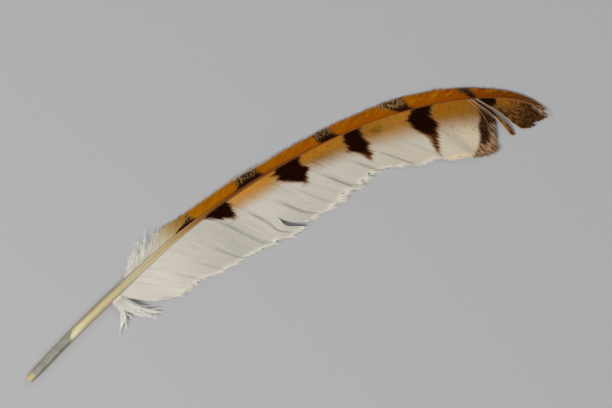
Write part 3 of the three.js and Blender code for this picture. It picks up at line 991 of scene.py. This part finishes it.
outerTones = {
    "along": [(60, (170, 164, 152)), (70, (168, 156, 132)), (75, (152, 124, 78)), (79, (142, 104, 46)),
              (82, (150, 98, 18)), (84, (150, 90, 3)), (92, (146, 84, 1)), (108, (146, 80, 1)),
              (124, (144, 76, 1)), (140, (140, 72, 1)), (155, (130, 66, 1)), (180, (124, 61, 1)),
              (196, (106, 48, 2)), (207, (88, 42, 4)), (214, (74, 38, 10)), (220, (68, 40, 20))],
    "glow": (176, 122, 10), "fleck": (60, 32, 10), "tipFleck": (142, 112, 76),
    "bar": (34, 12, 3), "barEdge": (84, 46, 8), "cream": (156, 126, 78), "fringe": (160, 156, 144),
    "bars": [
        [(0, 73.0, 84.6), (0.9, 73.4, 84), (1.3, 74.2, 83.2), (1.7, 75.8, 82.8), (2.2, 78.2, 82.6),
         (3.0, 79.6, 82.2), (4.2, 80.6, 81.6)],
        [(0, 100.3, 112.6), (0.6, 101, 112.2), (2, 101.8, 111.2), (3, 101.6, 111), (4, 103, 110.4),
         (5.5, 104, 109.6)],
        [(0, 135.4, 143), (0.6, 134.8, 142.4), (2, 134.2, 141.3), (3, 134, 140.8), (4, 133.6, 140.3),
         (6, 133.8, 139.6)],
        [(0, 166, 171.6), (0.6, 165, 170.8), (1.2, 163.6, 170.2), (2, 162.3, 169.6), (3, 161, 169),
         (4, 159, 168.7), (6, 158.4, 168.2)],
        [(0, 191.6, 194.8), (0.6, 191, 194.4), (2, 189.3, 193.6), (3, 187.8, 192.6), (5, 186.4, 191)],
    ],
}


def outerPaint(own):
    paint = WebPaint("barred web")
    station, reach, root, toTip = paint.station, paint.reach, paint.root, paint.toTip
    streak = paint.noise(root * 1.4, reach * 0.25, detail=3.0, rough=0.65)
    colour = paint.ramp(station + reach * 0.2, own["along"])
    # yellower and lighter away from the shaft, in streaks
    glow = streak.between(0.44, 0.66) * reach.between(0.8, 3.2) * station.between(80, 90)
    colour = paint.mix(glow * 0.55, colour, own["glow"])
    colour = paint.scaled(colour, 0.86 + streak * 0.28)
    ragged = paint.ragged(1.5, 0.3, 2.0) + (paint.chance - 0.5) * 0.7
    fleck = paint.noise(root * 2.1, reach * 1.9, 7.0, detail=3.0, rough=0.6)
    # dark flecks on the cream part near the quill and before the tip
    flecked = station.between(74.5, 77) * station.between(83.5, 81.5) * 0.8
    flecked = flecked + station.between(193, 199) * 0.9
    flecked = flecked + reach.between(2.6, 4.0) * station.between(84, 96) * 0.7
    colour = paint.mix(fleck.between(0.54, 0.64) * flecked, colour, own["fleck"])
    colour = paint.mix(fleck.between(0.46, 0.36) * station.between(206, 214) * 0.5, colour, own["tipFleck"])
    # the bars' outer parts carry cream flecks, most on the fourth and few on the last
    deep = insideBars(paint, station + ragged * 0.35, reach, own["bars"])
    dark = paint.mix(deep.between(0.2, 1.4), own["barEdge"], own["bar"])
    pale = fleck.between(0.49, 0.56) * (reach + ragged * 0.3).between(1.2, 3.0)
    pale = pale * (0.80 + station.between(150, 160) * 0.20)
    pale = pale * (1 - (station - reach * 0.2).between(166.4, 168.6) * station.between(180, 172))
    pale = pale * (1 - station.between(184, 187) * 0.8)
    dark = paint.mix(pale * 0.8, dark, own["cream"])
    colour = paint.mix(deep.between(-0.35, 0.35), colour, dark)
    # pale comb along the edge
    comb = toTip.between(0.9, 0.0) * 0.5 + toTip.between(0.0, -0.2) * 0.5
    comb = comb * station.between(80, 94) * station.between(176, 150)
    comb = comb * (0.25 + station.between(136, 112) * 0.75)
    colour = paint.mix(comb * (0.35 + paint.lockChance * 0.65), colour, own["fringe"])
    return paint.close(colour, (0.96, 0.06, 0.12), streak)


outerBarbs = tableBarbs(outerVane)
addPiece("outer_vane", [makeWeb(outerVane, outerBarbs, outerRelief, (0, 0.85)),
                        makeFringe(outerFringe, outerBarbs, 1, outerRelief)],
         outerPaint(outerTones), "outer_vane")

# ---- tip lobe ----

tipVane = {
    "seed": 37, "side": -1, "from": 194.0, "to": 218.6, "spacing": 0.30, "steps": 18,
    # drawn barbs, station and reach from the shaft outward
    "guides": [
        [(194.0, 0.1), (197.0, 2.1), (200.5, 4.0), (204, 6.0), (208, 8.1), (212, 9.2), (215, 9.35),
         (217.9, 8.3)],
        [(198, 0.1), (200.6, 1.9), (204, 3.7), (207.6, 5.5), (211.4, 6.8), (215, 7.2), (218.9, 6.2)],
        [(203, 0.1), (205.2, 1.4), (208, 2.8), (211, 4.0), (214, 4.8), (216.8, 4.9), (219.2, 4.2)],
        [(208.5, 0.1), (210.4, 1.1), (212.8, 2.0), (215, 2.7), (217.2, 3.0), (219, 2.9), (220.5, 2.3)],
        [(214, 0.1), (215.4, 0.7), (216.8, 1.1), (218.2, 1.3), (219.4, 1.2), (220.9, 0.9)],
        [(218.6, 0.05), (219.2, 0.15), (219.9, 0.25), (220.8, 0.3)]],
    "fray": [(193, 0.5), (200, 1.2), (219, 1.0)],
    "lock": 1.6, "nick": 1.1, "uneven": 0.6, "cling": 0.35, "free": 1.8, "taper": 0.25,
    "curl": [(194, 0.3), (219, 0.3)],
    "lift": 0.3, "overlap": 1.30, "widest": 0.6, "rise": 0.05, "tilt": 0.05,
}
looseStrip = {
    "seed": 81, "side": -1, "from": 192.4, "to": 193.6, "spacing": 0.17, "steps": 22,
    "guides": [
        [(192.4, 0.1), (194.8, 2.3), (197.5, 4.4), (200.5, 6.8), (203.5, 9.05), (206.5, 11.2), (209.5, 12.75),
         (211.9, 12.3)],
        [(193.6, 0.1), (195.7, 1.8), (198.4, 3.8), (201.6, 6.1), (205, 8.3), (208, 10.0), (210.4, 11.3),
         (211.9, 12.1)]],
    "fray": [(192, 0.5), (194, 0.5)],
    "lock": 0.8, "nick": 0.5, "uneven": 0.8, "cling": 0.1, "free": 1.4, "taper": 0.3,
    "curl": [(192, 0.2), (194, 0.2)],
    "lift": 0.3, "overlap": 1.35, "widest": 0.5, "rise": 0.05, "tilt": 0.05,
}


def tipRelief(root, reach, share, chance):
    # ripples along the barbs, and the lobe's first barbs raised so that its edge stands clear
    raised = 0.45 * np.sin(math.pi * share) * np.exp(-(root - tipVane["from"]) / 3.0)
    return 0.05 * share * drift(root, 1.6, 41) + raised + 0.012 * (chance[:, 0:1] - 0.5)


def stripRelief(root, reach, share, chance):
    # the strip bows up between the shaft and the floor
    return 0.6 * np.sin(math.pi * share) + 0.02 * (chance[:, 0:1] - 0.5)


tipTones = {
    "tan": (124, 78, 14), "brown": (60, 32, 10), "dark": (26, 11, 4), "speck": (136, 96, 54),
    "blotch": (106, 66, 26), "stain": (70, 40, 12), "patch": (24, 8, 2), "ramus": (172, 146, 116),
    "stripDark": (44, 24, 10), "stripPale": (120, 86, 44), "stripEnd": (98, 62, 34),
    "stripFleck": (46, 26, 10),
    # the dark patch at the start of the lobe, rows of reach, near station, far station
    "patches": [
        [(0, 194.6, 201.4), (1, 194.0, 201.6), (2, 194.0, 201.4), (2.8, 194, 200.8), (3.6, 194, 199.8),
         (4.4, 194, 198.8)],
    ],
}


def tipPaint(own):
    # one material for the lobe and the strip, told apart by the roots of their barbs
    paint = WebPaint("mottled web")
    station, reach, root = paint.station, paint.reach, paint.root
    strip = root.between(tipVane["from"] - 0.1, tipVane["from"] - 0.3)
    speckle = paint.noise(root * 2.6, station * 0.5, detail=3.0, rough=0.7)
    ragged = paint.ragged(1.6, 0.4, 2.0)
    warm = (reach + ragged * 0.4).between(5.0, 1.8) * (station + ragged).between(213, 204)
    colour = paint.mix(warm, own["brown"], own["tan"])
    blotch = paint.noise(station * 0.5, reach * 0.9, 5.0, detail=3.0, rough=0.6)
    colour = paint.mix(blotch.between(0.44, 0.60) * (1 - warm) * 0.7, colour, own["blotch"])
    colour = paint.mix(blotch.between(0.48, 0.38) * warm * 0.6, colour, own["stain"])
    colour = paint.mix(speckle.between(0.53, 0.61) * (1 - warm * 0.5) * 0.85, colour, own["speck"])
    colour = paint.mix(speckle.between(0.49, 0.41) * (0.95 - warm * 0.45), colour, own["dark"])
    colour = paint.scaled(colour, 1 - station.between(209, 215) * 0.56)
    ends = station.between(214.0, 216.5) * reach.between(1.6, 0.6) * speckle.between(0.45, 0.55)
    colour = paint.mix(ends * 0.8, colour, own["ramus"])
    torn = station + ragged * 0.9 + (speckle - 0.5) * 3
    deep = insideBars(paint, torn, reach + ragged * 0.3, own["patches"])
    colour = paint.mix(deep.between(-0.3, 0.5) * (1 - strip), colour, own["patch"])
    # the strip is dark as far as the patch runs, then tan, then brown at its end
    out = station + ragged * 0.5
    band = paint.mix(out.between(200.0, 203.0), own["stripDark"], own["stripPale"])
    band = paint.mix(out.between(205.0, 208.5), band, own["stripEnd"])
    band = paint.mix(speckle.between(0.55, 0.45) * 0.8, band, own["stripFleck"])
    colour = paint.mix(strip, colour, band)
    # pale outer barb of the lobe and of the strip
    lobeEdge = (root - tipVane["from"]).between(0.22, 0.06) * (1 - strip)
    stripEdge = (root - looseStrip["from"]).between(0.13, 0.05) * strip
    colour = paint.mix((lobeEdge + stripEdge) * 0.85, colour, own["ramus"])
    return paint.close(colour, (0.94, 0.08, 0.16), speckle)


def drawnStrands(own, lifted, rows=(0.95, 1)):
    # single tapering strands, each along a spline of station, reach and height above the web
    rng = np.random.default_rng(own["seed"])
    paths = np.array([evenly(curveThrough(p, 40), own["steps"] + 1) for p in own["paths"]])
    t = np.linspace(0, 1, own["steps"] + 1)[None]
    station, reach = paths[..., 0], paths[..., 1]
    height = webHeight(station, own["down"] * t) + lifted + 0 * reach
    centre = onFeather(station, -reach, np.maximum(height, floorHeight + 0.1))
    half = own["half"] * (1 - 0.6 * t) + 0 * reach
    place = np.stack([station, reach, np.full_like(reach, own["root"])], -1)
    return strandPart(centre, half, half * 0.8, blade, place, (t + 0 * half, (1 - t) * 5 + 0 * half),
                      rng.uniform(0, 1, (len(paths), 3)), rows=rows)


whisker = {
    "seed": 91, "steps": 12, "half": 0.10, "root": 194.0, "down": 0.4,
    "paths": [[(216.4, -0.5), (218.4, -1.2), (219.6, -1.35), (220.7, -1.3), (221.6, -0.9), (222.7, -0.1),
               (223.7, 0.7)],
              [(217.4, -0.3), (219.0, -0.6), (220.4, -0.6), (221.6, -0.2), (222.3, 0.3)]],
}
rami = {
    "seed": 92, "steps": 14, "half": 0.085, "root": 194.0, "down": 0.8,
    "paths": [[(191.6, 0.3), (193.4, 1.5), (195.4, 3.5), (197.6, 5.4), (200.2, 7.2)],
              [(190.6, 0.3), (192.6, 2.2), (194.8, 4.4), (196.5, 6.7), (197.5, 8.6), (197.9, 10.0)],
              [(193.4, 0.3), (195.4, 1.5), (197.3, 2.7), (199.4, 4.1), (202.0, 5.6), (204.4, 7.0)]],
}
mottled = tipPaint(tipTones)
addPiece("tip_vane", [makeWeb(tipVane, guideBarbs(tipVane), tipRelief, (0, 0.95)),
                      drawnStrands(whisker, 0.25)],
         mottled, "tip_vane")
addPiece("loose_strip", [makeWeb(looseStrip, guideBarbs(looseStrip), stripRelief, (0, 0.8)),
                         drawnStrands(rami, 0.55, (0.8, 1))],
         mottled, "loose_strip")

# ---- down: loose barbs with their barbules ----


def wispPaths(path, spread, strands, stations, rng, wander=0.12):
    # strands side by side along a spline: its point + its normal * spread * place in the wisp + a drift
    curve = evenly(curveThrough(path, 40), 161)
    t = np.linspace(0, 1, stations)
    cell = t[None] * rng.uniform(0.66, 1.0, (strands, 1)) * 160
    at = np.arange(161)
    station, reach = np.interp(cell, at, curve[:, 0]), np.interp(cell, at, curve[:, 1])
    slope = np.gradient(curve, axis=0)
    slope /= np.linalg.norm(slope, axis=1)[:, None]
    beside = rng.uniform(-1, 1, (strands, 1)) * lookUp(spread, t)[None]
    beside = beside + wander * t[None] * drift(cell * 0.05 + np.arange(strands)[:, None] * 17.3, 1.6, 7)
    return (station - np.interp(cell, at, slope[:, 1]) * beside,
            reach + np.interp(cell, at, slope[:, 0]) * beside)


def barbules(centre, place, own, rng, rows):
    # short blades off both sides of every strand: base on the strand, then out along a direction between
    # the strand's own and its side, each drawn to a point
    strands, stations = centre.shape[:2]
    per = own["barbules"]
    t = np.sort(rng.uniform(0.04, 0.99, (strands, per)), axis=1)
    cell = t * (stations - 1)
    low = np.minimum(cell.astype(int), stations - 2)
    part = (cell - low)[..., None]
    row = np.arange(strands)[:, None]
    base = centre[row, low] * (1 - part) + centre[row, low + 1] * part
    along = np.gradient(centre, axis=1)
    along /= np.linalg.norm(along, axis=-1, keepdims=True)
    run = along[row, low]
    side = np.cross(run, np.array([0.0, 0.0, 1.0]))
    side /= np.linalg.norm(side, axis=-1, keepdims=True) + 1e-9
    way = np.where(rng.uniform(0, 1, (strands, per, 1)) < 0.5, -1.0, 1.0)
    angle = rng.uniform(own["spread"][0], own["spread"][1], (strands, per, 1))
    out = run * np.cos(angle) + side * way * np.sin(angle)
    out[..., 2] += rng.uniform(-0.10, 0.25, (strands, per))
    size = (own["barbuleLength"] * (1 - 0.78 * t) * rng.uniform(0.5, 1.15, (strands, per)))[..., None]
    u = np.array([0.0, 0.55, 1.0])[None, None, :, None]
    points = (base[:, :, None] + out[:, :, None] * size[:, :, None] * u
              + run[:, :, None] * size[:, :, None] * 0.25 * u ** 2)
    points[..., 2] = np.maximum(points[..., 2], floorHeight + 0.05)
    points = points.reshape(-1, 3, 3)
    count = len(points)
    half = np.broadcast_to(np.array([1.0, 0.8, 0.2]) * own["barbuleHalf"], (count, 3))
    places = np.broadcast_to(place[row, low].reshape(-1, 1, 3), (count, 3, 3))
    shares = np.broadcast_to(t.reshape(-1, 1), (count, 3))
    return strandPart(points, half, half * 0.5, blade, places, (shares, shares * 0 + 0.5),
                      rng.uniform(0, 1, (count, 3)), rows=rows)


def looseBarbs(station, reach, side, own, rng):
    # tapering strands that fall from the side of the shaft to the ground, each puffed up by its own amount,
    # and the barbules along them
    strands, stations = station.shape
    t = np.linspace(0, 1, stations)[None]
    height = webHeight(station, t) + own["fluff"] * rng.uniform(-0.3, 1, (strands, 1)) * np.sin(t * 2.2)
    centre = onFeather(station, side * reach, np.maximum(height, floorHeight + 0.08))
    half = own["ramus"] * (1 - 0.75 * t) * rng.uniform(0.8, 1.2, (strands, 1))
    place = np.stack([station, reach, np.broadcast_to(station[:, :1], station.shape)], -1)
    stems = strandPart(centre, half, half * 0.5, blade, place, (t + 0 * half, (1 - t) * 8 + 0 * half),
                       rng.uniform(0, 1, (strands, 3)), rows=(0, 0.3))
    return [stems, barbules(centre, place, own, rng, (0.3, 1))]


downTones = {"white": (206, 203, 197), "shade": (188, 185, 177), "base": (182, 176, 160)}


def downPaint(own):
    paint = Paint("white down", 0.9, Specular_IOR_Level=0.1)
    station, reach = paint.parts("place")[:2]
    chance = paint.parts("chance")[0]
    cloud = paint.noise(station * 0.5, reach * 0.5)
    colour = paint.mix(cloud.between(0.3, 0.7), own["shade"], own["white"])
    colour = paint.mix(reach.between(3.0, 1.2) * 0.7, colour, own["base"])
    paint.colour(paint.scaled(colour, 0.95 + chance * 0.10))
    paint.bump(cloud, 0.00002, 0.4)
    return paint.material


down = downPaint(downTones)
outerDown = {
    "seed": 51, "spacing": 0.30, "stations": 12, "ramus": 0.075, "fluff": 0.8, "barbules": 90,
    "barbuleLength": 1.5, "barbuleHalf": 0.030, "spread": (0.25, 0.85),
    "outline": [(45.8, 1.8), (47.2, 2.9), (49.2, 5.2), (50.2, 7.6), (51.8, 8.6), (53, 7.8), (54.6, 8.8),
                (56, 7.6), (57.4, 8.9), (58.2, 7.4), (60.9, 6.9), (64, 6.0)],
    "lean": [(45, 1.3, 1.0, 1.1), (50, 1.1, 0.95, 1.1), (64, 1.2, 1.0, 1.1)], "unit": 5,
}


def makeOuterDown(own):
    # barbs from an outline as on the outer web, each of its own reach and bent on at its end by t^3
    rng = np.random.default_rng(own["seed"])
    roots = np.arange(own["outline"][0][0], own["outline"][-1][0], own["spacing"])
    roots = roots + rng.uniform(-0.15, 0.15, len(roots))
    tip = lookUp(own["outline"], roots) * rng.uniform(0.72, 1.08, len(roots))
    start = shaftWidth(roots) * 0.32
    t = np.linspace(0, 1, own["stations"])[None]
    reach = start[:, None] + (tip - start)[:, None] * t
    station = leanStation(roots[:, None], reach, own["lean"], own["unit"])
    station = station + 0.8 * t ** 3 * rng.uniform(-0.6, 1.4, (len(roots), 1))
    return looseBarbs(station, reach, 1, own, rng)


addPiece("outer_down", makeOuterDown(outerDown), down, "outer_down")

backDown = {
    "seed": 61, "stations": 14, "ramus": 0.075, "fluff": 0.6, "barbules": 84, "barbuleLength": 1.5,
    "barbuleHalf": 0.028, "spread": (0.2, 0.75),
    # path as station and reach, half spread along it, strands
    "wisps": [
        ([(41.2, 1.3), (41.4, 5.2), (40.2, 7.8), (38.2, 9.6), (36.0, 10.8), (34.6, 12.2)],
         [(0, 0.5), (0.4, 0.4), (1, 0.15)], 15),
        ([(41.4, 1.3), (41.7, 5.4), (40.9, 8.0), (39.4, 9.8), (38.2, 11.4), (37.4, 12.4)],
         [(0, 0.5), (0.4, 0.3), (1, 0.15)], 13),
        ([(41.0, 1.3), (41.3, 5.0), (41.4, 7.4), (41.9, 9.2), (42.2, 10.8)], [(0, 0.3), (1, 0.2)], 7),
        ([(41.1, 1.3), (41.2, 4.8), (40.0, 7.2), (37.6, 9.4), (35.4, 11.2), (33.9, 12.6)],
         [(0, 0.3), (1, 0.15)], 5),
        ([(41.3, 1.3), (41.6, 5.0), (41.0, 7.6), (40.2, 9.6), (39.6, 11.4)], [(0, 0.3), (1, 0.15)], 4),
    ],
}
forwardDown = {
    "seed": 71, "stations": 14, "ramus": 0.11, "fluff": 0.5, "barbules": 84, "barbuleLength": 1.7,
    "barbuleHalf": 0.038, "spread": (0.2, 0.75),
    "wisps": [
        ([(42.2, 1.3), (42.9, 5.7), (44.6, 9.5), (46.4, 13.1), (48.9, 17.1)],
         [(0, 0.6), (0.5, 0.8), (1, 0.35)], 27),
        ([(42.9, 1.3), (44.0, 5.7), (45.9, 9.6), (48.2, 13.4), (51.2, 16.6)],
         [(0, 0.6), (0.5, 0.8), (1, 0.35)], 27),
        ([(43.4, 1.3), (44.7, 5.9), (46.6, 9.9), (48.8, 12.6), (52.2, 14.4)],
         [(0, 0.6), (0.5, 0.3), (1, 0.1)], 8),
        ([(44.0, 1.3), (45.5, 5.7), (46.9, 8.9), (48.6, 11.2), (50.6, 12.3)],
         [(0, 0.4), (0.5, 0.2), (1, 0.1)], 3),
        ([(42.5, 1.3), (43.4, 5.7), (45.3, 9.8), (47.2, 13.6), (50.4, 17.4)],
         [(0, 0.4), (0.5, 0.4), (1, 0.1)], 7),
        ([(43.3, 1.3), (44.6, 5.8), (46.7, 9.9), (49.0, 13.2), (52.6, 15.4)],
         [(0, 0.4), (0.5, 0.4), (1, 0.1)], 7),
        ([(42.0, 1.3), (42.5, 5.6), (43.6, 9.4), (45.0, 13.0), (46.8, 15.6)],
         [(0, 0.3), (0.5, 0.3), (1, 0.1)], 5),
    ],
}


def makeInnerDown(own):
    # all the wisps of one tuft, laid one after another
    rng = np.random.default_rng(own["seed"])
    laid = [wispPaths(path, spread, strands, own["stations"], rng) for path, spread, strands in own["wisps"]]
    station = np.concatenate([w[0] for w in laid])
    reach = np.concatenate([w[1] for w in laid])
    return looseBarbs(station, reach, -1, own, rng)


addPiece("inner_down_back", makeInnerDown(backDown), down, "inner_down_back")
addPiece("inner_down_forward", makeInnerDown(forwardDown), down, "inner_down_forward")
